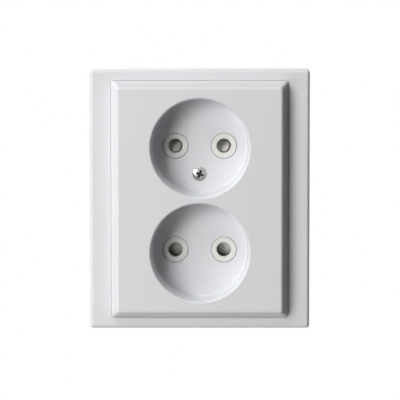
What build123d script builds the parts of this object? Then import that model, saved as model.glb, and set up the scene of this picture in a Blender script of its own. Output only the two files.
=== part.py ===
"""Double wall socket without earth: cover frame, centre plate with two wells, and flush insert.

Millimetres. X points right and Z up, the wall is the plane Y = 0 and the room lies towards -Y.
A height is measured from the wall towards the room, so what sits in the wall box has a negative one.
"""

import os
from math import asin, cos, degrees, hypot, radians, sin, tan

from build123d import *

os.makedirs("parts", exist_ok=True)

# Plug and outlets
pin_spacing = 19.0
pin_length = 19.0
pin_hole_radius = 2.8
outlet_pitch = 41.0

# Support ring and the clearances of the stack in front of it
ring_height = 70.0
ring_edge = 2.0
ring_corner = 7.0
ring_thickness = 1.2
ring_bead_length = 15.0
ring_bead_width = 2.4
ring_bead_height = 0.6
ring_window_gap = 0.3
box_screw_spacing = 60.0
box_slot_length = 7.0
box_slot_radius = 2.0
ring_notch = 3.0
floor_gap = 0.3

# Centre plate
plate_width = 69.3
plate_height = 93.0
plate_rise = 5.5
plate_draft = 24.0
plate_corner = 1.3
plate_edge = 1.0
plate_wall = 1.8
plate_skin = 1.8
skirt_depth = 3.9
plate_rib = 1.2
plate_rib_depth = 4.5

# Wells of the centre plate
well_depth = 12.0
well_mouth_radius = 19.25
well_draft = 3.0
well_rim_round = 0.7
well_floor_fillet = 0.6
well_wall = 1.5
well_floor_thickness = 1.4
boss_gap = 0.15

# Cover frame
frame_width = 86.0
frame_height = 101.6
frame_round = 1.3
frame_wall = 1.6
frame_skin = 2.0
window_gap = 0.12
window_lip = 1.2
ledge_reach = 2.0
ledge_thickness = 2.0
frame_rib = 1.2
frame_rib_pitch = 24.0
frame_rib_count = 4

# Cover screw and its bush
screw_drop = 11.1
screw_radius = 1.5
screw_fit = 0.05
screw_head_radius = 2.8
screw_head_dome = 0.75
screw_reach = 11.0
recess_width = 0.75
recess_span = 3.3
recess_depth = 1.3
recess_turn = -20.0
bush_radius = 2.45
bush_length = 12.2
post_wall = 1.0

# Contact cover
boss_radius = 4.95
boss_recess = 0.1
boss_round = 0.3
pin_hole_chamfer = 0.25
deck_skin = 0.9
deck_wall = 1.5
flange_thickness = 1.4

# Socket base
body_margin = 1.05
body_width = 41.0
body_height = 55.0
tray_wall = 1.3
partition = 1.2
spring_rib = 4.0

# Shutters and their springs
shutter_gap = 0.3
shutter_slide_gap = 0.2
shutter_thickness = 6.1
pad_width = 7.0
pad_overlap = 0.3
pad_land = 0.5
ramp_drop = 3.7
button_radius = 2.45
button_height = 1.4
button_shift = 0.35
bridge_thickness = 2.1
bridge_height = 3.4
shutter_corner = 1.0
spring_radius = 1.5
spring_wire = 0.35
spring_turns = 9
spring_length = 15.0
spring_clearance = 0.3

# Contacts
strip_width = 6.8
strip_thickness = 1.0
sleeve_bore = 2.5
sleeve_wall = 0.7
sleeve_slit = 0.8
sleeve_root = 1.5
sleeve_clearance = 0.6
collar_wall = 0.6
collar_height = 2.0
collar_fit = 0.05
pin_tip_gap = 0.5
chamber_gap = 0.5

# Terminals in the rear housing
rear_plate = 2.6
terminal_depth = 10.0
terminal_height = 17.6
rear_wall = 1.6
rear_block_width = 34.6
rear_block_height = 26.0
busbar_offset = 5.3
busbar_height = 7.8
wire_offset = 3.0
wire_radius = 1.6
wire_funnel = 0.4
wire_pitch = 9.0
gauge_length = 11.0
gauge_width = 1.2
gauge_depth = 0.5
clamp_thickness = 0.4
clamp_width = 6.0
clamp_bend = 1.2
lever_offset = -0.4
lever_thickness = 1.6
lever_width = 13.8
lever_catch = 1.0
lever_travel = 1.5
lever_gap = 0.2

# Fixing claws
claw_offset = 2.5
claw_rise = 8.0
claw_width = 9.0
claw_sheet = 1.2
claw_leg_top = 2.0
claw_leg_foot = 18.0
claw_tooth_reach = 1.7
claw_tooth_drop = 2.6
claw_nut_depth = 16.4
claw_screw_radius = 1.5
claw_screw_end = 22.0
claw_ball_radius = 2.9
claw_hole_radius = 2.5
claw_hole_stretch = 0.8
claw_seat_gap = 0.04
claw_head_height = 0.9
claw_head_slot = 0.9

# Assembly screws
assembly_inset = 2.7
assembly_rise = 4.0
assembly_radius = 1.45
assembly_fit = 0.15
assembly_head_radius = 2.5
assembly_head_height = 1.6
assembly_reach = 6.0

# Places worked out from the sizes above
pin_x = pin_spacing / 2
outlet_z = outlet_pitch / 2
outlets = (outlet_z, -outlet_z)
screw_z = outlet_z - screw_drop

ring_width = box_screw_spacing + box_slot_length + 2 * ring_edge
bead_x = (ring_width - ring_bead_width) / 2 - ring_edge
well_back = ring_thickness + floor_gap
well_floor = well_back + well_floor_thickness
plate_face = well_floor + well_depth
frame_face = plate_face - plate_rise
ledge_top = frame_face - skirt_depth
ledge_foot = ledge_top - ledge_thickness

deck_top = ring_thickness
boss_top = well_floor - boss_recess
flange_back = -flange_thickness
shutter_front = deck_top - deck_skin - shutter_slide_gap
shutter_back = shutter_front - shutter_thickness
tray_floor = shutter_back - shutter_slide_gap
chamber_front = tray_floor - partition
strip_front = well_floor - pin_length - pin_tip_gap
strip_back = strip_front - strip_thickness
base_back = strip_front
rear_inner = base_back - terminal_depth
rear_face = rear_inner - rear_wall

body_radius = hypot(pin_x, outlet_z) + boss_radius + body_margin
tray_half_width = pin_x + pad_width / 2 + shutter_gap
pad_half_length = pin_hole_radius + pad_overlap
post_radius = bush_radius + screw_fit + post_wall
sleeve_radius = sleeve_bore + sleeve_wall
collar_radius = sleeve_radius + collar_fit + collar_wall
chamber_radius = collar_radius + chamber_gap
claw_x = body_width / 2 + claw_offset
assembly_x = body_width / 2 - assembly_inset
spring_x = post_radius + spring_clearance + spring_radius
spring_height = tray_floor + shutter_slide_gap + spring_radius + spring_wire


def level(height):
    """The plane parallel to the wall at this height; its local Y is the model's Z."""
    return Plane.XZ.offset(height)


def body_outline(inset=0.0):
    """Outline of the insert: a disc that fits the wall box, flattened on its sides."""
    Circle(body_radius - inset)
    Rectangle(body_width - 2 * inset, body_height - 2 * inset, mode=Mode.INTERSECT)


def tray_outline(spread=0.0):
    """Outline of the space that the two shutters slide in."""
    Circle(body_radius - tray_wall + spread)
    Rectangle(
        2 * (tray_half_width + spread), body_height - 2 * (tray_wall - spread), mode=Mode.INTERSECT
    )


def assembly_places():
    """The two assembly screws, half a turn apart about the insert's centre."""
    return Locations((-assembly_x, -assembly_rise), (assembly_x, assembly_rise))


# Cover frame: a hollow moulding that the centre plate holds on the wall
window_width = plate_width + 2 * window_gap
window_height = plate_height + 2 * window_gap
frame_inner_width = frame_width - 2 * frame_wall
frame_inner_height = frame_height - 2 * frame_wall
lip_width = window_width + 2 * window_lip
lip_height = window_height + 2 * window_lip

with BuildPart() as cover_frame:
    with BuildSketch(level(0)):
        Rectangle(frame_width, frame_height)
    extrude(amount=frame_face)
    upright_edges = cover_frame.edges().filter_by(Axis.Y)
    face_edges = cover_frame.faces().sort_by(Axis.Y)[0].edges()
    fillet(upright_edges + face_edges, frame_round)
    with BuildSketch(level(ledge_top)):
        RectangleRounded(window_width, window_height, plate_corner + window_gap)
    extrude(amount=frame_face - ledge_top, mode=Mode.SUBTRACT)
    with BuildSketch(level(0)):
        Rectangle(window_width - 2 * ledge_reach, window_height - 2 * ledge_reach)
    extrude(amount=ledge_top, mode=Mode.SUBTRACT)
    with BuildSketch(level(0)):
        Rectangle(frame_inner_width, frame_inner_height)
    extrude(amount=ledge_foot, mode=Mode.SUBTRACT)
    with BuildSketch(level(ledge_foot)):
        Rectangle(frame_inner_width, frame_inner_height)
        Rectangle(lip_width, lip_height, mode=Mode.SUBTRACT)
    extrude(amount=frame_face - frame_skin - ledge_foot, mode=Mode.SUBTRACT)
    with BuildSketch(level(ledge_foot)):
        with GridLocations(
            (frame_inner_width + lip_width) / 2, frame_rib_pitch, 2, frame_rib_count
        ):
            Rectangle((frame_inner_width - lip_width) / 2, frame_rib)
    extrude(amount=frame_face - frame_skin - ledge_foot)
cover_frame.part.label = "cover_frame"
export_step(cover_frame.part, "parts/cover_frame.step")


# Centre plate: a drafted hollow cap with two round wells, foot on the frame's ledge
def plate_shell(inset, foot, top):
    """The cap's form: a straight skirt in the frame's window, then drafted sides up to a height."""
    narrowing = 2 * (top - frame_face) * tan(radians(plate_draft))
    width = plate_width - 2 * inset
    height = plate_height - 2 * inset
    corner = plate_corner - inset / 2
    mode = Mode.SUBTRACT if inset else Mode.ADD
    with BuildSketch(level(foot)) as skirt:
        RectangleRounded(width, height, corner)
    extrude(skirt.sketch, amount=frame_face - foot, mode=mode)
    with BuildSketch(level(frame_face)) as wide_end:
        RectangleRounded(width, height, corner)
    with BuildSketch(level(top)) as narrow_end:
        RectangleRounded(width - narrowing, height - narrowing, corner)
    loft([wide_end.sketch, narrow_end.sketch], ruled=True, mode=mode)


def cup(place, foot, top, spread, corner, mode):
    """A round drafted cup on an outlet's axis, its corner rounded at the foot."""
    foot_radius = well_mouth_radius + spread - (plate_face - foot) * tan(radians(well_draft))
    top_radius = well_mouth_radius + spread - (plate_face - top) * tan(radians(well_draft))
    with BuildSketch(Plane.XY.offset(place)) as section:
        with BuildLine():
            Polyline((0, -foot), (foot_radius, -foot), (top_radius, -top), (0, -top), close=True)
        make_face()
        fillet(section.vertices().group_by(Axis.Y)[-1].sort_by(Axis.X)[-1], corner)
    revolve(section.sketch, axis=Axis((0, 0, place), (0, 1, 0)), mode=mode)


with BuildPart() as centre_plate:
    plate_shell(0, ledge_top, plate_face)
    plate_shell(plate_wall, ledge_top, plate_face - plate_skin)
    rib_top = plate_face - plate_skin
    with BuildSketch(level(rib_top - plate_rib_depth)):
        with GridLocations(1, outlet_z, 1, 3):
            Rectangle(plate_width - 2 * plate_wall, plate_rib)
    extrude(amount=plate_rib_depth)
    for outlet in outlets:
        cup(
            outlet,
            well_back,
            rib_top,
            well_wall,
            well_floor_fillet + well_floor_thickness,
            Mode.ADD,
        )
    for outlet in outlets:
        cup(outlet, well_floor, plate_face + well_rim_round, 0, well_floor_fillet, Mode.SUBTRACT)
    face = centre_plate.faces().sort_by(Axis.Y)[0]
    fillet(face.outer_wire().edges(), plate_edge)
    face = centre_plate.faces().sort_by(Axis.Y)[0]
    fillet(face.edges().filter_by(GeomType.CIRCLE).group_by(SortBy.RADIUS)[-1], well_rim_round)
    with BuildSketch(level(well_back)):
        with GridLocations(pin_spacing, outlet_pitch, 2, 2):
            Circle(boss_radius + boss_gap)
    extrude(amount=well_floor_thickness, mode=Mode.SUBTRACT)
    with Locations(Plane(origin=(0, -well_floor, screw_z), x_dir=(1, 0, 0), z_dir=(0, -1, 0))):
        CounterSinkHole(
            screw_radius + 2 * screw_fit, screw_head_radius + screw_fit, counter_sink_angle=90
        )
centre_plate.part.label = "centre_plate"
export_step(centre_plate.part, "parts/centre_plate.step")

# Cover screw: raised countersunk head with a cross recess, through the upper well's floor
head_foot = well_floor - (screw_head_radius - screw_radius)
head_top = well_floor + screw_head_dome
dome_radius = (screw_head_radius**2 + screw_head_dome**2) / (2 * screw_head_dome)
dome_angle = degrees(asin(screw_head_radius / dome_radius))
screw_end = head_foot - screw_reach

with BuildPart() as cover_screw:
    with BuildSketch(Plane.XY.offset(screw_z)):
        with BuildLine():
            dome = JernArc((0, -head_top), (1, 0), dome_radius, dome_angle)
            Polyline(
                dome @ 1,
                (screw_radius, -head_foot),
                (screw_radius, -screw_end - screw_radius / 3),
                (screw_radius * 2 / 3, -screw_end),
                (0, -screw_end),
                dome @ 0,
            )
        make_face()
    revolve(axis=Axis((0, 0, screw_z), (0, 1, 0)))
    with BuildSketch(level(head_top - recess_depth)):
        with Locations((0, screw_z)):
            Rectangle(recess_span, recess_width, rotation=recess_turn)
            Rectangle(recess_width, recess_span, rotation=recess_turn)
    extrude(amount=2 * recess_depth, mode=Mode.SUBTRACT)
cover_screw.part.label = "cover_screw"
export_step(cover_screw.part, "parts/cover_screw.step")

# Screw bush: threaded brass bush in the base's post, which takes the cover screw
with BuildPart() as screw_bush:
    with BuildSketch(level(deck_top - bush_length)):
        with Locations((0, screw_z)):
            Circle(bush_radius)
            Circle(screw_radius + screw_fit, mode=Mode.SUBTRACT)
    extrude(amount=bush_length)
screw_bush.part.label = "screw_bush"
export_step(screw_bush.part, "parts/screw_bush.step")

# Support ring: galvanised sheet steel, slotted for the box screws, with holes for the claw screws
with BuildPart() as support_ring:
    with BuildSketch(level(0)):
        RectangleRounded(ring_width, ring_height, ring_corner)
        with GridLocations(1, ring_height, 1, 2):
            Circle(ring_notch, mode=Mode.SUBTRACT)
        with GridLocations(box_screw_spacing, 1, 2, 1):
            SlotOverall(box_slot_length, 2 * box_slot_radius, mode=Mode.SUBTRACT)
        for side in (-1, 1):
            with Locations((side * (claw_x + claw_hole_stretch / 2), -side * claw_rise)):
                SlotOverall(
                    2 * claw_hole_radius + claw_hole_stretch,
                    2 * claw_hole_radius,
                    mode=Mode.SUBTRACT,
                )
        with assembly_places():
            Circle(assembly_radius + assembly_fit, mode=Mode.SUBTRACT)
        with BuildSketch(mode=Mode.SUBTRACT):
            tray_outline(deck_wall + ring_window_gap)
    extrude(amount=ring_thickness)
    with BuildSketch(level(ring_thickness)):
        with GridLocations(2 * bead_x, outlet_pitch, 2, 2):
            SlotOverall(ring_bead_length, ring_bead_width, rotation=90)
    extrude(amount=ring_bead_height)
    with BuildSketch(level(0)):
        with GridLocations(2 * bead_x, outlet_pitch, 2, 2):
            SlotOverall(
                ring_bead_length - 2 * ring_bead_height,
                ring_bead_width - 2 * ring_bead_height,
                rotation=90,
            )
    extrude(amount=ring_bead_height, mode=Mode.SUBTRACT)
support_ring.part.label = "support_ring"
export_step(support_ring.part, "parts/support_ring.step")

# Contact cover: cream moulding whose four bosses stand in the holes of the wells' floors
with BuildPart() as contact_cover:
    with BuildSketch(level(flange_back)):
        body_outline()
    extrude(amount=flange_thickness)
    with BuildSketch(level(0)):
        tray_outline(deck_wall)
    extrude(amount=deck_top)
    with BuildSketch(level(deck_top)):
        with GridLocations(pin_spacing, outlet_pitch, 2, 2):
            Circle(boss_radius)
    extrude(amount=boss_top - deck_top)
    fillet(contact_cover.faces().sort_by(Axis.Y).group_by(Axis.Y)[0].edges(), boss_round)
    with BuildSketch(level(flange_back)):
        tray_outline()
    extrude(amount=deck_top - deck_skin - flange_back, mode=Mode.SUBTRACT)
    with BuildSketch(level(flange_back)):
        with GridLocations(pin_spacing, outlet_pitch, 2, 2):
            Circle(pin_hole_radius)
    extrude(amount=boss_top - flange_back, mode=Mode.SUBTRACT)
    chamfer(
        contact_cover.edges().filter_by(GeomType.CIRCLE).group_by(Axis.Y)[0].group_by(SortBy.RADIUS)[0],
        pin_hole_chamfer,
    )
    with BuildSketch(level(flange_back)):
        with Locations((0, screw_z)):
            Circle(post_radius + screw_fit)
        with assembly_places():
            Circle(assembly_radius + assembly_fit)
    extrude(amount=deck_top - flange_back, mode=Mode.SUBTRACT)
contact_cover.part.label = "contact_cover"
export_step(contact_cover.part, "parts/contact_cover.step")

# Socket base: tray for the shutters in front, a partition, and the contact chambers behind it
with BuildPart() as socket_base:
    with BuildSketch(level(base_back)):
        body_outline()
    extrude(amount=flange_back - base_back)
    with BuildSketch(level(tray_floor)):
        tray_outline()
    extrude(amount=flange_back - tray_floor, mode=Mode.SUBTRACT)
    with BuildSketch(level(tray_floor)):
        Rectangle(2 * (spring_x + spring_radius), spring_rib)
    extrude(amount=flange_back - shutter_slide_gap - tray_floor)
    with BuildSketch(level(tray_floor)):
        with Locations((0, screw_z)):
            Circle(post_radius)
    extrude(amount=deck_top - tray_floor)
    with BuildSketch(level(deck_top - bush_length)):
        with Locations((0, screw_z)):
            Circle(bush_radius + screw_fit)
    extrude(amount=bush_length, mode=Mode.SUBTRACT)
    with BuildSketch(level(base_back)):
        with GridLocations(pin_spacing, outlet_pitch, 2, 2):
            Circle(chamber_radius)
    extrude(amount=chamber_front - base_back, mode=Mode.SUBTRACT)
    with BuildSketch(level(chamber_front)):
        with GridLocations(pin_spacing, outlet_pitch, 2, 2):
            Circle(pin_hole_radius)
    extrude(amount=partition, mode=Mode.SUBTRACT)
    with BuildSketch(level(base_back)):
        with assembly_places():
            Circle(assembly_radius + assembly_fit)
    extrude(amount=flange_back - base_back, mode=Mode.SUBTRACT)
socket_base.part.label = "socket_base"
export_step(socket_base.part, "parts/socket_base.step")

# Shutters: two ramped pads, each with a round button that fills the pin hole from behind, and a
# bridge that joins them on the outer side
spring_foot = spring_rib / 2
spring_seat = spring_foot + spring_length
pad_front = shutter_front - button_height
pad_foot = outlet_z - pad_half_length
pad_end = outlet_z + pad_half_length

with BuildPart() as shutter:
    with BuildSketch(Plane.YZ.offset(-pin_x - pad_width / 2)):
        with BuildLine():
            Polyline(
                (-pad_front, pad_foot),
                (-pad_front, pad_foot + pad_land),
                (-pad_front + ramp_drop, pad_end),
                (-shutter_back, pad_end),
                (-shutter_back, pad_foot),
                close=True,
            )
        make_face()
    extrude(amount=2 * pin_x + pad_width)
    with BuildSketch(level(shutter_back)):
        with Locations((-button_shift, outlet_z)):
            with GridLocations(pin_spacing, 1, 2, 1):
                Circle(button_radius)
    extrude(amount=shutter_thickness)
    with BuildSketch(Plane.YZ.offset(-pin_x - pad_width / 2)):
        with BuildLine():
            Polyline(
                (-shutter_front, pad_foot + pad_land),
                (-shutter_front, pad_end),
                (-shutter_front + ramp_drop, pad_end),
                close=True,
            )
        make_face()
    extrude(amount=2 * pin_x + pad_width, mode=Mode.SUBTRACT)
    with BuildSketch(level(shutter_back + bridge_thickness)):
        with Locations((0, outlet_z)):
            Rectangle(pin_spacing - pad_width, 2 * pad_half_length)
    extrude(amount=shutter_thickness, mode=Mode.SUBTRACT)
    with BuildSketch(level(shutter_back)):
        with Locations((0, pad_foot)):
            Rectangle(
                pin_spacing - pad_width,
                2 * pad_half_length - bridge_height,
                align=(Align.CENTER, Align.MIN),
            )
    extrude(amount=bridge_thickness, mode=Mode.SUBTRACT)
    with BuildSketch(level(shutter_back)):
        with Locations((spring_x, spring_seat)):
            Rectangle(
                2 * spring_radius,
                pad_end - spring_seat,
                align=(Align.CENTER, Align.MIN),
            )
    extrude(amount=2 * spring_radius + spring_wire)
    outer_corners = shutter.edges().filter_by(Axis.Y).group_by(Axis.Z)[-1]
    fillet(outer_corners, shutter_corner)

for name, turn in (("upper", 0), ("lower", 180)):
    with BuildPart() as placed_shutter:
        add(shutter.part, rotation=(0, turn, 0))
    placed_shutter.part.label = f"shutter_{name}"
    export_step(placed_shutter.part, f"parts/shutter_{name}.step")

# Shutter springs: wire coils between the base's rib and the shutter's seat
coil_radius = spring_radius - spring_wire / 2
coil_height = spring_length - spring_wire

with BuildPart() as shutter_spring:
    coil_start = (spring_x + coil_radius, -spring_height, spring_foot + spring_wire / 2)
    with BuildLine():
        Helix(
            coil_height / spring_turns,
            coil_height,
            coil_radius,
            center=(spring_x, -spring_height, spring_foot + spring_wire / 2),
        )
    with BuildSketch(Plane(origin=coil_start, x_dir=(1, 0, 0), z_dir=(0, 1, 0))):
        RegularPolygon(spring_wire / 2, 6)
    sweep(is_frenet=True)

for name, turn in (("upper", 0), ("lower", 180)):
    with BuildPart() as placed_spring:
        add(shutter_spring.part, rotation=(0, turn, 0))
    placed_spring.part.label = f"shutter_spring_{name}"
    export_step(placed_spring.part, f"parts/shutter_spring_{name}.step")

# Contact strips: brass, each with two slit sleeves for the pins and a bent-up busbar at the terminals
busbar_x = pin_x + busbar_offset
strip_inner = pin_x - strip_width / 2

with BuildPart() as contact_strip:
    with BuildSketch(level(strip_back)):
        with Locations((pin_x, 0)):
            SlotOverall(outlet_pitch + strip_width, strip_width, rotation=90)
        with Locations((strip_inner, 0)):
            Rectangle(
                busbar_x - strip_inner,
                terminal_height - 2 * clamp_thickness,
                align=(Align.MIN, Align.CENTER),
            )
    extrude(amount=strip_thickness)
    with BuildSketch(level(strip_back)):
        with Locations((busbar_x, 0)):
            Rectangle(
                strip_thickness,
                terminal_height - 2 * clamp_thickness,
                align=(Align.MAX, Align.CENTER),
            )
    extrude(amount=-busbar_height)
    with BuildSketch(level(strip_front)):
        with GridLocations(1, outlet_pitch, 1, 2):
            with Locations((pin_x, 0)):
                Circle(sleeve_radius)
                Circle(sleeve_bore, mode=Mode.SUBTRACT)
    extrude(amount=chamber_front - sleeve_clearance - strip_front)
    with BuildSketch(level(strip_front + sleeve_root)):
        with GridLocations(1, outlet_pitch, 1, 2):
            with Locations((pin_x, 0)):
                Rectangle(2 * collar_radius, sleeve_slit)
    extrude(amount=chamber_front - strip_front, mode=Mode.SUBTRACT)

for name, turn in (("right", 0), ("left", 180)):
    with BuildPart() as placed_strip:
        add(contact_strip.part, rotation=(0, turn, 0))
    placed_strip.part.label = f"contact_strip_{name}"
    export_step(placed_strip.part, f"parts/contact_strip_{name}.step")

# Contact collars: open steel rings that press the two halves of each sleeve on the pin
collar_front = chamber_front - sleeve_clearance - collar_height / 2

for side_name, side in (("left", -1), ("right", 1)):
    for row_name, outlet in (("upper", outlet_z), ("lower", -outlet_z)):
        with BuildPart() as contact_collar:
            with BuildSketch(level(collar_front - collar_height)):
                with Locations((side * pin_x, outlet)):
                    Circle(collar_radius)
                    Circle(collar_radius - collar_wall, mode=Mode.SUBTRACT)
                    with Locations((side * collar_radius, 0)):
                        Rectangle(2 * collar_radius, sleeve_slit, mode=Mode.SUBTRACT)
            extrude(amount=collar_height)
        contact_collar.part.label = f"contact_collar_{row_name}_{side_name}"
        export_step(contact_collar.part, f"parts/contact_collar_{row_name}_{side_name}.step")

# Rear housing: closes the contact chambers and holds the terminals, with wire entries at the back
chamber_inner_x = pin_x - busbar_offset
chamber_outer_x = busbar_x + shutter_gap
wire_x = pin_x + wire_offset
lever_x = pin_x + lever_offset

with BuildPart() as rear_housing:
    with BuildSketch(level(base_back)):
        body_outline()
    extrude(amount=-rear_plate)
    with BuildSketch(level(base_back)):
        Rectangle(rear_block_width, rear_block_height)
    extrude(amount=rear_face - base_back)
    with BuildSketch(level(base_back)):
        with assembly_places():
            Circle(assembly_inset)
    extrude(amount=-assembly_reach - assembly_inset)
    block_edges = rear_housing.edges().group_by(Axis.Y)[-1]
    fillet(block_edges, frame_round)
    with BuildSketch(level(base_back)):
        with GridLocations(pin_spacing, 1, 2, 1):
            SlotOverall(
                outlet_pitch + strip_width + 2 * shutter_gap,
                strip_width + 2 * shutter_gap,
                rotation=90,
            )
    extrude(amount=-strip_thickness, mode=Mode.SUBTRACT)
    with BuildSketch(level(base_back)):
        with GridLocations(chamber_inner_x + chamber_outer_x, 1, 2, 1):
            Rectangle(chamber_outer_x - chamber_inner_x, terminal_height)
    extrude(amount=-terminal_depth, mode=Mode.SUBTRACT)
    with BuildSketch(level(rear_inner)):
        with GridLocations(2 * lever_x, 1, 2, 1):
            Rectangle(lever_thickness + 2 * lever_gap, lever_width + 2 * lever_gap)
    extrude(amount=-rear_wall, mode=Mode.SUBTRACT)
    with BuildSketch(level(rear_inner)):
        with GridLocations(2 * wire_x, wire_pitch, 2, 2):
            Circle(wire_radius)
    extrude(amount=-rear_wall, mode=Mode.SUBTRACT)
    wire_mouths = rear_housing.edges().filter_by(GeomType.CIRCLE).group_by(Axis.Y)[-1]
    chamfer(wire_mouths, wire_funnel)
    with BuildSketch(level(rear_face)):
        Rectangle(gauge_width, gauge_length)
    extrude(amount=gauge_depth, mode=Mode.SUBTRACT)
    with BuildSketch(level(base_back)):
        with assembly_places():
            Circle(assembly_radius + screw_fit)
    extrude(amount=-assembly_reach, mode=Mode.SUBTRACT)
rear_housing.part.label = "rear_housing"
export_step(rear_housing.part, "parts/rear_housing.step")

# Clamp springs: bent steel leaves that press a wire on the busbar
clamp_back_x = chamber_inner_x + clamp_thickness / 2 + screw_fit
clamp_tip_x = busbar_x - strip_thickness - clamp_thickness
clamp_foot_y = -strip_back + clamp_thickness
clamp_bend_y = -rear_inner - strip_thickness
clamp_tip_y = clamp_foot_y + 2 * clamp_bend

for side_name, turn in (("right", 0), ("left", 180)):
    for row_name, row in (("upper", 1), ("lower", -1)):
        place = row * wire_pitch / 2 * (1 if turn == 0 else -1)
        with BuildPart() as clamp_spring:
            with BuildSketch(Plane.XY.offset(place)):
                with BuildLine():
                    FilletPolyline(
                        (clamp_back_x, clamp_foot_y),
                        (clamp_back_x, clamp_bend_y),
                        (clamp_tip_x, clamp_tip_y),
                        radius=clamp_bend,
                    )
                trace(line_width=clamp_thickness)
            extrude(amount=clamp_width / 2, both=True)
        with BuildPart() as placed_clamp:
            add(clamp_spring.part, rotation=(0, turn, 0))
        placed_clamp.part.label = f"clamp_spring_{row_name}_{side_name}"
        export_step(placed_clamp.part, f"parts/clamp_spring_{row_name}_{side_name}.step")

# Release levers: pressed in from behind, each frees the two wires of one pole
clamp_slope = (clamp_bend_y - clamp_tip_y) / (clamp_tip_x - clamp_back_x)
clamp_clearance = lever_travel + lever_gap + clamp_thickness


def lever_nose(x):
    """Where the lever's slanted nose ends above the clamp spring's leg, at this X."""
    return clamp_bend_y - clamp_slope * (x - clamp_back_x) + clamp_clearance


lever_inner = lever_x - lever_thickness / 2
lever_outer = lever_x + lever_thickness / 2
lever_end = -rear_face + lever_travel
catch_back = -rear_inner - lever_gap

with BuildPart() as release_lever:
    for back, width in ((lever_end, lever_width), (catch_back, lever_width + 2 * lever_catch)):
        with BuildSketch(Plane.XY):
            with BuildLine():
                Polyline(
                    (lever_inner, lever_nose(lever_inner)),
                    (lever_outer, lever_nose(lever_outer)),
                    (lever_outer, back),
                    (lever_inner, back),
                    close=True,
                )
            make_face()
        extrude(amount=width / 2, both=True)

for name, turn in (("right", 0), ("left", 180)):
    with BuildPart() as placed_lever:
        add(release_lever.part, rotation=(0, turn, 0))
    placed_lever.part.label = f"release_lever_{name}"
    export_step(placed_lever.part, f"parts/release_lever_{name}.step")

# Claw screws: a ball-shaped seat under each head lets the screw swing in the support ring
ball_centre = ring_thickness + ((claw_ball_radius + claw_seat_gap) ** 2 - claw_hole_radius**2) ** 0.5
claw_head_top = ball_centre + claw_head_height
ball_foot = (claw_ball_radius**2 - claw_screw_radius**2) ** 0.5 - ball_centre
ball_angle = radians(35)

with BuildPart() as claw_screw:
    with BuildSketch(Plane.XY.offset(claw_rise)):
        with BuildLine():
            seat_arc = ThreePointArc(
                (claw_ball_radius - claw_x, -ball_centre),
                (
                    claw_ball_radius * cos(ball_angle) - claw_x,
                    claw_ball_radius * sin(ball_angle) - ball_centre,
                ),
                (claw_screw_radius - claw_x, ball_foot),
            )
            Polyline(
                seat_arc @ 1,
                (claw_screw_radius - claw_x, claw_screw_end),
                (-claw_x, claw_screw_end),
                (-claw_x, -claw_head_top),
                (claw_ball_radius - claw_x, -claw_head_top),
                seat_arc @ 0,
            )
        make_face()
    revolve(axis=Axis((-claw_x, 0, claw_rise), (0, 1, 0)))
    with BuildSketch(level(claw_head_top)):
        with Locations((-claw_x, claw_rise)):
            Rectangle(2 * (claw_ball_radius + claw_hole_stretch), claw_head_slot)
    extrude(amount=-claw_head_slot, mode=Mode.SUBTRACT)

for name, turn in (("left", 0), ("right", 180)):
    with BuildPart() as placed_claw_screw:
        add(claw_screw.part, rotation=(0, turn, 0))
    placed_claw_screw.part.label = f"claw_screw_{name}"
    export_step(placed_claw_screw.part, f"parts/claw_screw_{name}.step")

# Fixing claws: bent steel with two teeth, drawn along by the screw in their threaded lug
claw_leg_x = -claw_x - claw_screw_radius - claw_sheet / 2 - shutter_gap

with BuildPart() as claw:
    with BuildSketch(Plane.XY.offset(claw_rise)):
        with BuildLine():
            Polyline(
                (claw_leg_x, claw_leg_top),
                (claw_leg_x, claw_leg_foot),
                (claw_leg_x - claw_tooth_reach, claw_leg_foot + claw_tooth_drop),
            )
        trace(line_width=claw_sheet)
        with BuildLine():
            Line((claw_leg_x, claw_nut_depth), (-claw_x + claw_screw_radius, claw_nut_depth))
        trace(line_width=claw_sheet)
    extrude(amount=claw_width / 2, both=True)
    with BuildSketch(level(-claw_nut_depth - claw_sheet)):
        with Locations((-claw_x, claw_rise)):
            Circle(claw_screw_radius + screw_fit)
    extrude(amount=2 * claw_sheet, mode=Mode.SUBTRACT)
    with BuildSketch(Plane.YZ.offset(claw_leg_x - claw_tooth_reach - claw_sheet)):
        with Locations((claw_leg_foot + 1.5 * claw_tooth_drop, claw_rise)):
            with GridLocations(1, claw_width, 1, 2):
                Rectangle(2 * claw_tooth_drop, claw_width / 3)
            Rectangle(2 * claw_tooth_drop, claw_width / 6)
    extrude(amount=claw_tooth_reach + 1.5 * claw_sheet, mode=Mode.SUBTRACT)

for name, turn in (("left", 0), ("right", 180)):
    with BuildPart() as placed_claw:
        add(claw.part, rotation=(0, turn, 0))
    placed_claw.part.label = f"claw_{name}"
    export_step(placed_claw.part, f"parts/claw_{name}.step")

# Assembly screws: two pan-head screws that hold ring, contact cover, base and rear housing together
with BuildPart() as assembly_screws:
    with BuildSketch(level(base_back - assembly_reach + assembly_radius)):
        with assembly_places():
            Circle(assembly_radius)
    extrude(amount=ring_thickness - base_back + assembly_reach - assembly_radius)
    with BuildSketch(level(ring_thickness)):
        with assembly_places():
            Circle(assembly_head_radius)
    extrude(amount=assembly_head_height)
    head_edges = assembly_screws.edges().group_by(Axis.Y)[0]
    fillet(head_edges, assembly_head_height / 3)
    with BuildSketch(level(ring_thickness + assembly_head_height)):
        with assembly_places():
            Rectangle(recess_span, recess_width)
            Rectangle(recess_width, recess_span)
    extrude(amount=-assembly_head_height / 2, mode=Mode.SUBTRACT)
assembly_screws.part.label = "assembly_screws"
export_step(assembly_screws.part, "parts/assembly_screws.step")
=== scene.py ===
import math

import bmesh
import bpy
from mathutils import Matrix, Vector


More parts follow.
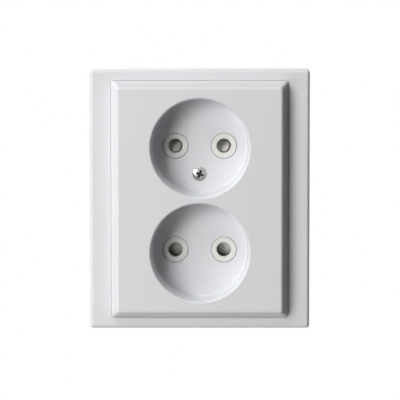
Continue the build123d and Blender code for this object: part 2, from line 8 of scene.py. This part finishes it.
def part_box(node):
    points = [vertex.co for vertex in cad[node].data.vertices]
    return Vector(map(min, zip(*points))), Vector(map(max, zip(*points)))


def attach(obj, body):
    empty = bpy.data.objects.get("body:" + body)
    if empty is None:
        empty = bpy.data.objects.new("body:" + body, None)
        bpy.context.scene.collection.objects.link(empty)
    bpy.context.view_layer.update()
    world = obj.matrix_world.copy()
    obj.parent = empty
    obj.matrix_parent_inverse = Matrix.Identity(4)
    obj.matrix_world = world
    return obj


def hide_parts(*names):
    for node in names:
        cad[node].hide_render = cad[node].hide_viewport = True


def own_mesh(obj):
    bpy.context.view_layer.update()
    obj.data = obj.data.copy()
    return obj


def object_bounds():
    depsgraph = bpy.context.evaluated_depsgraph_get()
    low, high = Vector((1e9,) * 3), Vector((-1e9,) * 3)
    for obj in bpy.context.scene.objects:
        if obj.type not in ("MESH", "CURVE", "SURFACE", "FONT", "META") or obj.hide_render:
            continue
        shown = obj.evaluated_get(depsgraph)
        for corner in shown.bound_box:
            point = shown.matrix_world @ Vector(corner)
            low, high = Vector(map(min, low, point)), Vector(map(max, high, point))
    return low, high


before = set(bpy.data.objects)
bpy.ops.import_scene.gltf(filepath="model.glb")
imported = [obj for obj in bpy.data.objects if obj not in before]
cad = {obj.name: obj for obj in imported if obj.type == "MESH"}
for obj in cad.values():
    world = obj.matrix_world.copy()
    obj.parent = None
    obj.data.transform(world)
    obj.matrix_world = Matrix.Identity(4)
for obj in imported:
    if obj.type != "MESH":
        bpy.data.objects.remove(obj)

cad_box = [list(corner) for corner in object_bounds()]

# Camera: straight in front of the socket and a little above it, looking down by a few degrees.
# It aims at the floors of the wells, halfway between the two outlets.
VIEW_ELEVATION = math.radians(5.7)
VIEW_DISTANCE = 1.28
VIEW_ANGLE = math.radians(7.03)
VIEW_TARGET = Vector((0.0001, -0.0028, -0.0009))

camera_data = bpy.data.cameras.new("camera")
camera_data.sensor_width = 36.0
camera_data.lens = camera_data.sensor_width / 2 / math.tan(VIEW_ANGLE / 2)
camera_data.clip_start = 0.05
camera_data.clip_end = 20.0
camera = bpy.data.objects.new("camera", camera_data)
bpy.context.scene.collection.objects.link(camera)
towards_camera = Vector((0.0, -math.cos(VIEW_ELEVATION), math.sin(VIEW_ELEVATION)))
camera.location = VIEW_TARGET + towards_camera * VIEW_DISTANCE
camera.rotation_mode = "QUATERNION"
camera.rotation_quaternion = (-towards_camera).to_track_quat("-Z", "Y")
bpy.context.scene.camera = camera
bpy.context.scene.view_settings.view_transform = "Standard"

# Studio light: a soft window on the left, two lamps that rake down over it and one at its foot, so
# that the wells' upper left walls lie in shade. Two lamps behind the wall plane serve the back and
# the right side.
LAMP_DISTANCE = 1.1


def soft_lamp(name, azimuth, elevation, size, power):
    """A square area lamp that faces the socket from a direction; radians, metres and watts."""
    data = bpy.data.lights.new(name, "AREA")
    data.shape = "SQUARE"
    data.size = size
    data.energy = power
    lamp = bpy.data.objects.new(name, data)
    bpy.context.scene.collection.objects.link(lamp)
    outwards = Vector(
        (
            math.sin(azimuth) * math.cos(elevation),
            -math.cos(azimuth) * math.cos(elevation),
            math.sin(elevation),
        )
    )
    lamp.location = outwards * LAMP_DISTANCE
    lamp.rotation_mode = "QUATERNION"
    lamp.rotation_quaternion = (-outwards).to_track_quat("-Z", "Y")


soft_lamp("window", math.radians(-38), math.radians(14), 0.5, 8.5)
soft_lamp("raking_lamp", math.radians(-66), math.radians(60), 0.4, 3.6)
soft_lamp("top_lamp", math.radians(-24), math.radians(60), 0.4, 3.2)
soft_lamp("foot_lamp", math.radians(-45), math.radians(-20), 0.4, 2.7)
soft_lamp("back_left", math.radians(-158), math.radians(30), 0.6, 4.6)
soft_lamp("back_right", math.radians(125), math.radians(15), 0.6, 6.0)

# World: white to the eye, in gloss and through glass, and dark to everything else, so that the
# lamps alone light the socket.
world = bpy.data.worlds.new("studio")
bpy.context.scene.world = world
world.use_nodes = True
world_nodes, world_links = world.node_tree.nodes, world.node_tree.links
world_nodes.clear()
world_output = world_nodes.new("ShaderNodeOutputWorld")
white_ground = world_nodes.new("ShaderNodeBackground")
white_ground.inputs["Color"].default_value = (1, 1, 1, 1)
path = world_nodes.new("ShaderNodeLightPath")
camera_or_gloss = world_nodes.new("ShaderNodeMath")
camera_or_gloss.operation = "MAXIMUM"
any_seen = world_nodes.new("ShaderNodeMath")
any_seen.operation = "MAXIMUM"
world_links.new(path.outputs["Is Camera Ray"], camera_or_gloss.inputs[0])
world_links.new(path.outputs["Is Glossy Ray"], camera_or_gloss.inputs[1])
world_links.new(camera_or_gloss.outputs[0], any_seen.inputs[0])
world_links.new(path.outputs["Is Transmission Ray"], any_seen.inputs[1])
world_links.new(any_seen.outputs[0], white_ground.inputs["Strength"])
world_links.new(white_ground.outputs[0], world_output.inputs["Surface"])

# Floor: a pale matt disc under the socket, which lies below the front view. It catches the
# socket's shadow in the views from the side and fades into the white ground at its rim.
FLOOR_DROP = 0.16
FLOOR_RADIUS = 0.2
FLOOR_SIDES = 96
FADE_START = 0.45

floor_mesh = bmesh.new()
bmesh.ops.create_circle(floor_mesh, cap_ends=True, segments=FLOOR_SIDES, radius=FLOOR_RADIUS)
bmesh.ops.translate(floor_mesh, verts=floor_mesh.verts, vec=(0, 0, cad_box[0][2] - FLOOR_DROP))
floor_data = bpy.data.meshes.new("floor")
floor_mesh.to_mesh(floor_data)
floor_mesh.free()
floor = bpy.data.objects.new("floor", floor_data)
bpy.context.scene.collection.objects.link(floor)

floor_material = bpy.data.materials.new("pale_floor")
floor_material.use_nodes = True
floor_nodes, floor_links = floor_material.node_tree.nodes, floor_material.node_tree.links
floor_nodes.clear()
floor_output = floor_nodes.new("ShaderNodeOutputMaterial")
floor_paint = floor_nodes.new("ShaderNodeBsdfDiffuse")
floor_paint.inputs["Color"].default_value = (0.86, 0.86, 0.86, 1)
floor_clear = floor_nodes.new("ShaderNodeBsdfTransparent")
floor_place = floor_nodes.new("ShaderNodeTexCoord")
floor_distance = floor_nodes.new("ShaderNodeVectorMath")
floor_distance.operation = "LENGTH"
floor_flat = floor_nodes.new("ShaderNodeVectorMath")
floor_flat.operation = "MULTIPLY"
floor_flat.inputs[1].default_value = (1, 1, 0)
floor_fade = floor_nodes.new("ShaderNodeMapRange")
floor_fade.interpolation_type = "SMOOTHERSTEP"
floor_fade.inputs["From Min"].default_value = FLOOR_RADIUS * FADE_START
floor_fade.inputs["From Max"].default_value = FLOOR_RADIUS
floor_blend = floor_nodes.new("ShaderNodeMixShader")
floor_links.new(floor_place.outputs["Object"], floor_flat.inputs[0])
floor_links.new(floor_flat.outputs[0], floor_distance.inputs[0])
floor_links.new(floor_distance.outputs["Value"], floor_fade.inputs["Value"])
floor_links.new(floor_fade.outputs[0], floor_blend.inputs["Fac"])
floor_links.new(floor_paint.outputs[0], floor_blend.inputs[1])
floor_links.new(floor_clear.outputs[0], floor_blend.inputs[2])
floor_links.new(floor_blend.outputs[0], floor_output.inputs["Surface"])
floor.data.materials.append(floor_material)

# Cover frame: the outer frame, injection moulded in white thermoplastic with a smooth satin skin.
# The centre plate's foot presses it on the wall.
CLOUD_SCALE = 60.0
CLOUD_DETAIL = 3.0
GRAIN_DETAIL = 2.0
NOISE_LOW, NOISE_HIGH = 0.3, 0.7
BUMP_STRENGTH = 0.5


def shader_group(name, inputs, outputs):
    """A shader node group with named sockets; returns it with its input and output nodes."""
    group = bpy.data.node_groups.new(name, "ShaderNodeTree")
    for label, kind, value in inputs:
        socket = group.interface.new_socket(label, in_out="INPUT", socket_type=kind)
        socket.default_value = value
    for label, kind in outputs:
        group.interface.new_socket(label, in_out="OUTPUT", socket_type=kind)
    return group, group.nodes.new("NodeGroupInput"), group.nodes.new("NodeGroupOutput")


def noise(group, detail):
    """A noise texture on object coordinates inside a group."""
    place = group.nodes.new("ShaderNodeTexCoord")
    texture = group.nodes.new("ShaderNodeTexNoise")
    texture.inputs["Detail"].default_value = detail
    group.links.new(place.outputs["Object"], texture.inputs["Vector"])
    return texture


def mapped(group, value, low, high):
    """Spreads a noise value between a low and a high socket."""
    spread = group.nodes.new("ShaderNodeMapRange")
    spread.inputs["From Min"].default_value = NOISE_LOW
    spread.inputs["From Max"].default_value = NOISE_HIGH
    group.links.new(value, spread.inputs["Value"])
    group.links.new(low, spread.inputs["To Min"])
    group.links.new(high, spread.inputs["To Max"])
    return spread.outputs["Result"]


def mixed(group, factor, first, second):
    """Blends two colour sockets by a factor."""
    blend = group.nodes.new("ShaderNodeMix")
    blend.data_type = "RGBA"
    group.links.new(factor, blend.inputs["Factor"])
    group.links.new(first, blend.inputs["A"])
    group.links.new(second, blend.inputs["B"])
    return blend.outputs["Result"]


def moulded_skin_group():
    """Skin of moulded plastic: a fine spark-eroded grain, and faint clouds in colour and gloss."""
    group, given, result = shader_group(
        "moulded_skin",
        [
            ("Color", "NodeSocketColor", (0.8, 0.8, 0.8, 1)),
            ("Cloud Color", "NodeSocketColor", (0.78, 0.78, 0.78, 1)),
            ("Roughness Low", "NodeSocketFloat", 0.3),
            ("Roughness High", "NodeSocketFloat", 0.36),
            ("Grain Scale", "NodeSocketFloat", 2500.0),
        ],
        [
            ("Color", "NodeSocketColor"),
            ("Roughness", "NodeSocketFloat"),
            ("Height", "NodeSocketFloat"),
        ],
    )
    cloud_texture = noise(group, CLOUD_DETAIL)
    cloud_texture.inputs["Scale"].default_value = CLOUD_SCALE
    clouds = cloud_texture.outputs["Fac"]
    grain = noise(group, GRAIN_DETAIL)
    colour = mixed(group, clouds, given.outputs["Color"], given.outputs["Cloud Color"])
    gloss = mapped(
        group, clouds, given.outputs["Roughness Low"], given.outputs["Roughness High"]
    )
    group.links.new(given.outputs["Grain Scale"], grain.inputs["Scale"])
    group.links.new(colour, result.inputs["Color"])
    group.links.new(gloss, result.inputs["Roughness"])
    group.links.new(grain.outputs["Fac"], result.inputs["Height"])
    return group


moulded_skin = moulded_skin_group()


def finished_material(name, skin, values, relief, metallic=0.0, specular=0.5):
    """A Principled material that takes colour, roughness and relief from a skin group."""
    material = bpy.data.materials.new(name)
    material.use_nodes = True
    nodes, links = material.node_tree.nodes, material.node_tree.links
    shader = nodes["Principled BSDF"]
    shader.inputs["Metallic"].default_value = metallic
    shader.inputs["Specular IOR Level"].default_value = specular
    surface = nodes.new("ShaderNodeGroup")
    surface.node_tree = skin
    for label, value in values.items():
        surface.inputs[label].default_value = value
    bump = nodes.new("ShaderNodeBump")
    bump.inputs["Strength"].default_value = BUMP_STRENGTH
    bump.inputs["Distance"].default_value = relief
    links.new(surface.outputs["Color"], shader.inputs["Base Color"])
    links.new(surface.outputs["Roughness"], shader.inputs["Roughness"])
    links.new(surface.outputs["Height"], bump.inputs["Height"])
    links.new(bump.outputs["Normal"], shader.inputs["Normal"])
    return material


white_plastic = finished_material(
    "white_plastic",
    moulded_skin,
    {
        "Color": (0.735, 0.742, 0.757, 1),
        "Cloud Color": (0.72, 0.727, 0.742, 1),
        "Roughness Low": 0.36,
        "Roughness High": 0.42,
        "Grain Scale": 2600.0,
    },
    relief=0.000004,
    specular=0.25,
)


def dress(material, *nodes):
    """Gives the CAD nodes named here this material."""
    for node in nodes:
        cad[node].data.materials[0] = material


dress(white_plastic, "cover_frame")

# Centre plate: the raised cap with the two wells, from the same white plastic as the frame. One
# screw in the upper well draws it on the insert.
dress(white_plastic, "centre_plate")

# Contact cover: a cream moulding of heat-proof thermoset over the contacts and the shutters. Its
# four round bosses stand in the wells' floors and guide the plug's pins.
cream_plastic = finished_material(
    "cream_plastic",
    moulded_skin,
    {
        "Color": (0.77, 0.755, 0.715, 1),
        "Cloud Color": (0.75, 0.735, 0.695, 1),
        "Roughness Low": 0.42,
        "Roughness High": 0.50,
        "Grain Scale": 3200.0,
    },
    relief=0.000006,
)
dress(cream_plastic, "contact_cover")

# Shutters: a slider of pale cream plastic for each outlet, moulded with ramps and round buttons.
# The buttons close the pin holes until a plug's pins push on the ramps.
shutter_plastic = finished_material(
    "shutter_plastic",
    moulded_skin,
    {
        "Color": (0.88, 0.865, 0.805, 1),
        "Cloud Color": (0.86, 0.845, 0.785, 1),
        "Roughness Low": 0.45,
        "Roughness High": 0.55,
        "Grain Scale": 3000.0,
    },
    relief=0.000006,
)
dress(shutter_plastic, "shutter_upper", "shutter_lower")

# Socket base and rear housing: the insulating body of the insert, moulded in grey glass-filled
# plastic. The two long assembly screws clamp them on the support ring.
base_plastic = finished_material(
    "base_plastic",
    moulded_skin,
    {
        "Color": (0.25, 0.26, 0.27, 1),
        "Cloud Color": (0.22, 0.23, 0.24, 1),
        "Roughness Low": 0.48,
        "Roughness High": 0.62,
        "Grain Scale": 1800.0,
    },
    relief=0.00001,
)
dress(base_plastic, "socket_base", "rear_housing")

# Release levers: small sliders moulded in orange plastic, which stand out of the rear housing.
# Pressed in from behind, each one lifts the clamp springs off two wires.
lever_plastic = finished_material(
    "lever_plastic",
    moulded_skin,
    {
        "Color": (0.72, 0.27, 0.06, 1),
        "Cloud Color": (0.68, 0.24, 0.05, 1),
        "Roughness Low": 0.38,
        "Roughness High": 0.46,
        "Grain Scale": 2600.0,
    },
    relief=0.000006,
)
dress(lever_plastic, "release_lever_left", "release_lever_right")

# Support ring and claws: pressed and bent from sheet steel with a zinc coat, mottled and dull. The
# ring carries the insert on the wall box, and the claws grip the box from inside.
METAL_GRAIN_DETAIL = 4.0


def metal_skin_group():
    """Skin of plated or rolled metal: blotches of two tones and gloss, and fine rolling marks."""
    group, given, result = shader_group(
        "metal_skin",
        [
            ("Color", "NodeSocketColor", (0.6, 0.6, 0.6, 1)),
            ("Cloud Color", "NodeSocketColor", (0.5, 0.5, 0.5, 1)),
            ("Roughness Low", "NodeSocketFloat", 0.25),
            ("Roughness High", "NodeSocketFloat", 0.4),
            ("Blotch Scale", "NodeSocketFloat", 400.0),
            ("Grain Scale", "NodeSocketFloat", 3000.0),
        ],
        [
            ("Color", "NodeSocketColor"),
            ("Roughness", "NodeSocketFloat"),
            ("Height", "NodeSocketFloat"),
        ],
    )
    place = group.nodes.new("ShaderNodeTexCoord")
    blotches = group.nodes.new("ShaderNodeTexVoronoi")
    group.links.new(place.outputs["Object"], blotches.inputs["Vector"])
    group.links.new(given.outputs["Blotch Scale"], blotches.inputs["Scale"])
    tone = group.nodes.new("ShaderNodeSeparateColor")
    group.links.new(blotches.outputs["Color"], tone.inputs["Color"])
    grain = noise(group, METAL_GRAIN_DETAIL)
    colour = mixed(
        group, tone.outputs["Red"], given.outputs["Color"], given.outputs["Cloud Color"]
    )
    gloss = mapped(
        group,
        tone.outputs["Green"],
        given.outputs["Roughness Low"],
        given.outputs["Roughness High"],
    )
    group.links.new(given.outputs["Grain Scale"], grain.inputs["Scale"])
    group.links.new(colour, result.inputs["Color"])
    group.links.new(gloss, result.inputs["Roughness"])
    group.links.new(grain.outputs["Fac"], result.inputs["Height"])
    return group


metal_skin = metal_skin_group()

galvanised_steel = finished_material(
    "galvanised_steel",
    metal_skin,
    {
        "Color": (0.47, 0.48, 0.49, 1),
        "Cloud Color": (0.38, 0.39, 0.405, 1),
        "Roughness Low": 0.34,
        "Roughness High": 0.48,
        "Blotch Scale": 700.0,
        "Grain Scale": 4000.0,
    },
    relief=0.000006,
    metallic=1.0,
)
dress(galvanised_steel, "support_ring", "claw_left", "claw_right")

# Cover screw: a raised countersunk screw with a cross recess, cold headed and thread rolled from
# steel, with a bright nickel coat; the recess is painted near black as painted shade. It holds the
# centre plate from the floor of the upper well.
SCREW_SIDES = 32
THREAD_PITCH = 0.0005
THREAD_DEPTH = 0.00028
THREAD_CREST = (0.42, 0.58)
TIP_SHARE = 0.8
THREAD_MERGE = 0.00001
SEAM_MERGE = 0.000002
SHARP_ANGLE = math.radians(32)
SCREW_X, SCREW_Z = 0.0, 0.0094
HEAD_RADIUS = 0.0028
HEAD_RIM_DEPTH = -0.0029
HEAD_DOME = 0.00075
DOME_STEPS = 8
SHANK_RADIUS = 0.0015
SHANK_START = -0.0016
THREAD_START = 0.0012
SCREW_END = 0.0094
RECESS_HALF_SPAN = 0.00180
RECESS_HALF_WIDTH = 0.00048
RECESS_DEPTH = 0.0014
RECESS_TAPER = 0.45
RECESS_TURN = math.radians(-22)
CUTTER_LEAD = 0.0001

screw_steel = finished_material(
    "screw_steel",
    metal_skin,
    {
        "Color": (0.42, 0.42, 0.41, 1),
        "Cloud Color": (0.38, 0.38, 0.37, 1),
        "Roughness Low": 0.16,
        "Roughness High": 0.24,
        "Blotch Scale": 1500.0,
        "Grain Scale": 6000.0,
    },
    relief=0.000003,
    metallic=1.0,
)
# Painted shade: a near-black metal that the cutters leave on the faces of the cross recesses and
# the slots, standing in for the shade that falls inside them.
recess_painted_shade = finished_material(
    "recess_painted_shade",
    metal_skin,
    {
        "Color": (0.055, 0.055, 0.058, 1),
        "Cloud Color": (0.04, 0.04, 0.042, 1),
        "Roughness Low": 0.38,
        "Roughness High": 0.5,
        "Blotch Scale": 2500.0,
        "Grain Scale": 6000.0,
    },
    relief=0.000003,
    metallic=1.0,
)


def turned(mesh, profile, centre_x, centre_z):
    """Turns a chain of (radius, depth) points round an axis that points straight into the wall."""
    chain = [mesh.verts.new((centre_x + radius, depth, centre_z)) for radius, depth in profile]
    edges = [mesh.edges.new(pair) for pair in zip(chain, chain[1:])]
    bmesh.ops.spin(
        mesh,
        geom=chain + edges,
        cent=(centre_x, 0, centre_z),
        axis=(0, 1, 0),
        angle=2 * math.pi,
        steps=SCREW_SIDES,
        use_merge=True,
    )


def open_edges(mesh, nearest, furthest):
    """The edges of the mesh's openings between two depths."""
    return [
        edge
        for edge in mesh.edges
        if len(edge.link_faces) == 1
        and all(nearest <= vert.co.y <= furthest for vert in edge.verts)
    ]


def add_thread(mesh, centre_x, centre_z, radius, start, end):
    """Winds a vee thread on the end of a turned shank, joins it there and closes its tip."""
    root = radius - THREAD_DEPTH
    turns = int((end - start) / THREAD_PITCH) - 1
    flank = [(root, 0.0), *((radius, share) for share in THREAD_CREST), (root, 1.0)]
    chain = [
        mesh.verts.new((centre_x + reach, start + share * THREAD_PITCH, centre_z))
        for reach, share in flank
    ]
    edges = [mesh.edges.new(pair) for pair in zip(chain, chain[1:])]
    bmesh.ops.spin(
        mesh,
        geom=chain + edges,
        cent=(centre_x, 0, centre_z),
        axis=(0, 1, 0),
        dvec=(0, THREAD_PITCH / SCREW_SIDES, 0),
        angle=2 * math.pi * turns,
        steps=SCREW_SIDES * turns,
    )
    bmesh.ops.remove_doubles(mesh, verts=mesh.verts, dist=THREAD_MERGE)
    joint = open_edges(mesh, start - THREAD_PITCH / 2, start + 1.2 * THREAD_PITCH)
    bmesh.ops.bridge_loops(mesh, edges=joint)
    rim = open_edges(mesh, end - 3 * THREAD_PITCH, end)
    tip = bmesh.ops.extrude_edge_only(mesh, edges=rim)["geom"]
    for vert in (item for item in tip if isinstance(item, bmesh.types.BMVert)):
        outwards = Vector((vert.co.x - centre_x, 0, vert.co.z - centre_z)).normalized()
        vert.co = Vector((centre_x, end, centre_z)) + outwards * root * TIP_SHARE
    bmesh.ops.remove_doubles(mesh, verts=mesh.verts, dist=THREAD_MERGE)
    tip_rim = open_edges(mesh, end - THREAD_PITCH / 10, end + THREAD_PITCH / 10)
    bmesh.ops.contextual_create(mesh, geom=tip_rim)


def cross_cutter(mesh, centre_x, centre_z, top, depth, turn):
    """A tapered cross, as the heading die leaves it in a screw head."""
    outline = []
    for quarter in range(4):
        for along, across in (
            (RECESS_HALF_SPAN, -RECESS_HALF_WIDTH),
            (RECESS_HALF_SPAN, RECESS_HALF_WIDTH),
            (RECESS_HALF_WIDTH, RECESS_HALF_WIDTH),
        ):
            corner = Matrix.Rotation(turn + quarter * math.pi / 2, 2) @ Vector((along, across))
            outline.append(mesh.verts.new((centre_x + corner.x, top, centre_z + corner.y)))
    mouth = mesh.faces.new(outline)
    floor_faces = bmesh.ops.extrude_face_region(mesh, geom=[mouth])["geom"]
    for vert in (item for item in floor_faces if isinstance(item, bmesh.types.BMVert)):
        vert.co.x = centre_x + (vert.co.x - centre_x) * RECESS_TAPER
        vert.co.z = centre_z + (vert.co.z - centre_z) * RECESS_TAPER
        vert.co.y = top + depth
    bmesh.ops.recalc_face_normals(mesh, faces=mesh.faces)


def made(name, mesh, material):
    """Makes an object of a bmesh: doubles merged, normals outward, smooth with crisp edges."""
    bmesh.ops.remove_doubles(mesh, verts=mesh.verts, dist=SEAM_MERGE)
    bmesh.ops.recalc_face_normals(mesh, faces=mesh.faces)
    data = bpy.data.meshes.new(name)
    mesh.to_mesh(data)
    mesh.free()
    data.shade_smooth()
    data.set_sharp_from_angle(angle=SHARP_ANGLE)
    data.materials.append(material)
    piece = bpy.data.objects.new(name, data)
    bpy.context.scene.collection.objects.link(piece)
    return piece


def carve(piece, cutter):
    """Takes a closed cutter out of a piece; the cut faces take the cutter's material."""
    cut = piece.modifiers.new("recess", "BOOLEAN")
    cut.operation = "DIFFERENCE"
    cut.solver = "EXACT"
    cut.material_mode = "TRANSFER"
    cut.object = cutter
    graph = bpy.context.evaluated_depsgraph_get()
    data = bpy.data.meshes.new_from_object(piece.evaluated_get(graph))
    piece.modifiers.clear()
    piece.data = data
    data.shade_smooth()
    data.set_sharp_from_angle(angle=SHARP_ANGLE)
    bpy.data.objects.remove(cutter)


screw_mesh = bmesh.new()
head_top = HEAD_RIM_DEPTH - HEAD_DOME
dome_radius = (HEAD_RADIUS**2 + HEAD_DOME**2) / (2 * HEAD_DOME)
dome_span = math.asin(HEAD_RADIUS / dome_radius)
head_profile = []
for step in range(DOME_STEPS + 1):
    lean = dome_span * step / DOME_STEPS
    head_profile.append(
        (dome_radius * math.sin(lean), head_top + dome_radius * (1 - math.cos(lean)))
    )
head_profile += [(SHANK_RADIUS, SHANK_START), (SHANK_RADIUS, THREAD_START - THREAD_PITCH / 2)]
head_profile += [(SHANK_RADIUS - THREAD_DEPTH, THREAD_START - THREAD_PITCH / 4)]
turned(screw_mesh, head_profile, SCREW_X, SCREW_Z)
add_thread(screw_mesh, SCREW_X, SCREW_Z, SHANK_RADIUS, THREAD_START, SCREW_END)
cover_screw = made("cover_screw_headed", screw_mesh, screw_steel)

cutter_mesh = bmesh.new()
cross_cutter(cutter_mesh, SCREW_X, SCREW_Z, head_top - CUTTER_LEAD, RECESS_DEPTH, RECESS_TURN)
carve(cover_screw, made("recess_cutter", cutter_mesh, recess_painted_shade))
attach(cover_screw, "socket")
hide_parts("cover_screw")

# Assembly screws: two pan-head screws with cross recesses, of the same plated steel. They hold the
# support ring, the contact cover, the base and the rear housing together.
PAN_RADIUS = 0.0025
PAN_SEAT = -0.0012
PAN_TOP = -0.0028
PAN_ROUND = ((0.68, 0.0), (0.86, 0.00013), (0.96, 0.00038), (1.0, 0.0007))
PAN_RECESS_DEPTH = 0.0009
ASSEMBLY_SHANK_RADIUS = 0.00145
ASSEMBLY_THREAD_START = 0.0100
ASSEMBLY_END = 0.02115
ASSEMBLY_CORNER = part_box("assembly_screws")[1]
ASSEMBLY_X = ASSEMBLY_CORNER[0] - PAN_RADIUS
ASSEMBLY_Z = ASSEMBLY_CORNER[2] - PAN_RADIUS

assembly_mesh = bmesh.new()
pan_profile = [
    (0.0, PAN_TOP),
    *((PAN_RADIUS * share, PAN_TOP + drop) for share, drop in PAN_ROUND),
    (PAN_RADIUS, PAN_SEAT),
    (ASSEMBLY_SHANK_RADIUS, PAN_SEAT),
    (ASSEMBLY_SHANK_RADIUS, ASSEMBLY_THREAD_START - THREAD_PITCH / 2),
    (ASSEMBLY_SHANK_RADIUS - THREAD_DEPTH, ASSEMBLY_THREAD_START - THREAD_PITCH / 4),
]
recess_mesh = bmesh.new()
for place_x, place_z in ((-ASSEMBLY_X, -ASSEMBLY_Z), (ASSEMBLY_X, ASSEMBLY_Z)):
    one_screw = bmesh.new()
    turned(one_screw, pan_profile, place_x, place_z)
    add_thread(
        one_screw, place_x, place_z, ASSEMBLY_SHANK_RADIUS, ASSEMBLY_THREAD_START, ASSEMBLY_END
    )
    one_data = bpy.data.meshes.new("one_screw")
    one_screw.to_mesh(one_data)
    one_screw.free()
    assembly_mesh.from_mesh(one_data)
    bpy.data.meshes.remove(one_data)
    cross_cutter(recess_mesh, place_x, place_z, PAN_TOP - CUTTER_LEAD, PAN_RECESS_DEPTH, 0.0)
assembly_screws = made("assembly_screws_headed", assembly_mesh, screw_steel)
# The recess faces take the near-black painted shade of the cutter's material.
carve(assembly_screws, made("pan_cutter", recess_mesh, recess_painted_shade))
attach(assembly_screws, "socket")
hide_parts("assembly_screws")

# Claw screws: slotted screws of the same plated steel, with a ball under the head that lets them
# swing in the support ring. Their long thread draws the claw's lug up, and this spreads the claw.
BALL_RADIUS = 0.0029
BALL_CENTRE = -0.002747
BALL_STEPS = 6
CLAW_HEAD_TOP = -0.003647
CLAW_SHANK_RADIUS = 0.0015
CLAW_THREAD_START = 0.0050
CLAW_SCREW_END = 0.0220
CLAW_SLOT_WIDTH = 0.0009
CLAW_SLOT_DEPTH = 0.0009
CLAW_HEAD_EDGE = 0.00015

for side in ("left", "right"):
    claw_low, claw_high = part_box(f"claw_screw_{side}")
    place_x, place_z = (claw_low[0] + claw_high[0]) / 2, (claw_low[2] + claw_high[2]) / 2
    claw_screw_mesh = bmesh.new()
    claw_profile = [
        (0.0, CLAW_HEAD_TOP),
        (BALL_RADIUS - CLAW_HEAD_EDGE, CLAW_HEAD_TOP),
        (BALL_RADIUS, CLAW_HEAD_TOP + CLAW_HEAD_EDGE),
    ]
    ball_span = math.acos(CLAW_SHANK_RADIUS / BALL_RADIUS)
    for step in range(BALL_STEPS + 1):
        lean = ball_span * step / BALL_STEPS
        claw_profile.append(
            (BALL_RADIUS * math.cos(lean), BALL_CENTRE + BALL_RADIUS * math.sin(lean))
        )
    claw_profile += [
        (CLAW_SHANK_RADIUS, CLAW_THREAD_START - THREAD_PITCH / 2),
        (CLAW_SHANK_RADIUS - THREAD_DEPTH, CLAW_THREAD_START - THREAD_PITCH / 4),
    ]
    turned(claw_screw_mesh, claw_profile, place_x, place_z)
    add_thread(
        claw_screw_mesh, place_x, place_z, CLAW_SHANK_RADIUS, CLAW_THREAD_START, CLAW_SCREW_END
    )
    claw_screw = made(f"claw_screw_{side}_slotted", claw_screw_mesh, screw_steel)
    slot_mesh = bmesh.new()
    bmesh.ops.create_cube(slot_mesh, size=1.0)
    bmesh.ops.scale(
        slot_mesh,
        verts=slot_mesh.verts,
        vec=(3 * BALL_RADIUS, 2 * CLAW_SLOT_DEPTH, CLAW_SLOT_WIDTH),
    )
    bmesh.ops.translate(slot_mesh, verts=slot_mesh.verts, vec=(place_x, CLAW_HEAD_TOP, place_z))
    # The slot's faces take the near-black painted shade of the cutter's material.
    carve(claw_screw, made("slot_cutter", slot_mesh, recess_painted_shade))
    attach(claw_screw, f"claw_{side}")
    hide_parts(f"claw_screw_{side}")

# Contact strips and the screw's bush: bare brass. The strips are stamped and rolled into the slit
# sleeves that take the pins, and the bush is turned and threaded for the cover screw.
brass = finished_material(
    "brass",
    metal_skin,
    {
        "Color": (0.80, 0.62, 0.30, 1),
        "Cloud Color": (0.74, 0.56, 0.26, 1),
        "Roughness Low": 0.22,
        "Roughness High": 0.34,
        "Blotch Scale": 500.0,
        "Grain Scale": 5000.0,
    },
    relief=0.000004,
    metallic=1.0,
)
dress(brass, "contact_strip_left", "contact_strip_right", "screw_bush")

# Clamp springs and collars: bent from bright spring steel strip. The collars press the sleeves on
# the plug's pins, and the clamp springs hold the wires on the busbars.
spring_steel = finished_material(
    "spring_steel",
    metal_skin,
    {
        "Color": (0.56, 0.56, 0.56, 1),
        "Cloud Color": (0.48, 0.48, 0.49, 1),
        "Roughness Low": 0.24,
        "Roughness High": 0.34,
        "Blotch Scale": 900.0,
        "Grain Scale": 5000.0,
    },
    relief=0.000003,
    metallic=1.0,
)
for side in ("left", "right"):
    for row in ("upper", "lower"):
        dress(spring_steel, f"contact_collar_{row}_{side}", f"clamp_spring_{row}_{side}")

# Shutter springs: coils wound from round spring steel wire, with closed end turns. They stand
# between the base's rib and each shutter's seat and push the shutter back when the plug is drawn.
WIRE_RADIUS = 0.000175
WIRE_SIDES = 10
COIL_RADIUS = 0.001325
COIL_FOOT = 0.0020
COIL_LENGTH = 0.0150
COIL_TURNS = 9
COIL_STEPS = 24
COIL_DEPTH = 0.00415
COIL_SIDE = 0.0053

for row, way in (("upper", 1), ("lower", -1)):
    wire = bmesh.new()
    start = Matrix.Translation(
        (way * (COIL_SIDE + COIL_RADIUS), COIL_DEPTH, way * (COIL_FOOT + WIRE_RADIUS))
    )
    ring = bmesh.ops.create_circle(
        wire,
        segments=WIRE_SIDES,
        radius=WIRE_RADIUS,
        matrix=start @ Matrix.Rotation(math.radians(90), 4, "X"),
    )["verts"]
    section = ring + wire.edges[:]
    closed_rise = 2 * WIRE_RADIUS
    open_rise = COIL_LENGTH - 3 * closed_rise
    for turns, rise in ((1, closed_rise), (COIL_TURNS - 2, open_rise), (1, closed_rise)):
        section = bmesh.ops.spin(
            wire,
            geom=section,
            cent=(way * COIL_SIDE, COIL_DEPTH, 0),
            axis=(0, 0, 1),
            dvec=(0, 0, way * rise / (COIL_STEPS * turns)),
            angle=2 * math.pi * turns,
            steps=COIL_STEPS * turns,
        )["geom_last"]
    bmesh.ops.holes_fill(wire, edges=wire.edges, sides=WIRE_SIDES)
    spring = made(f"shutter_spring_{row}_coil", wire, spring_steel)
    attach(spring, "socket")
    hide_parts(f"shutter_spring_{row}")
    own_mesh(spring)
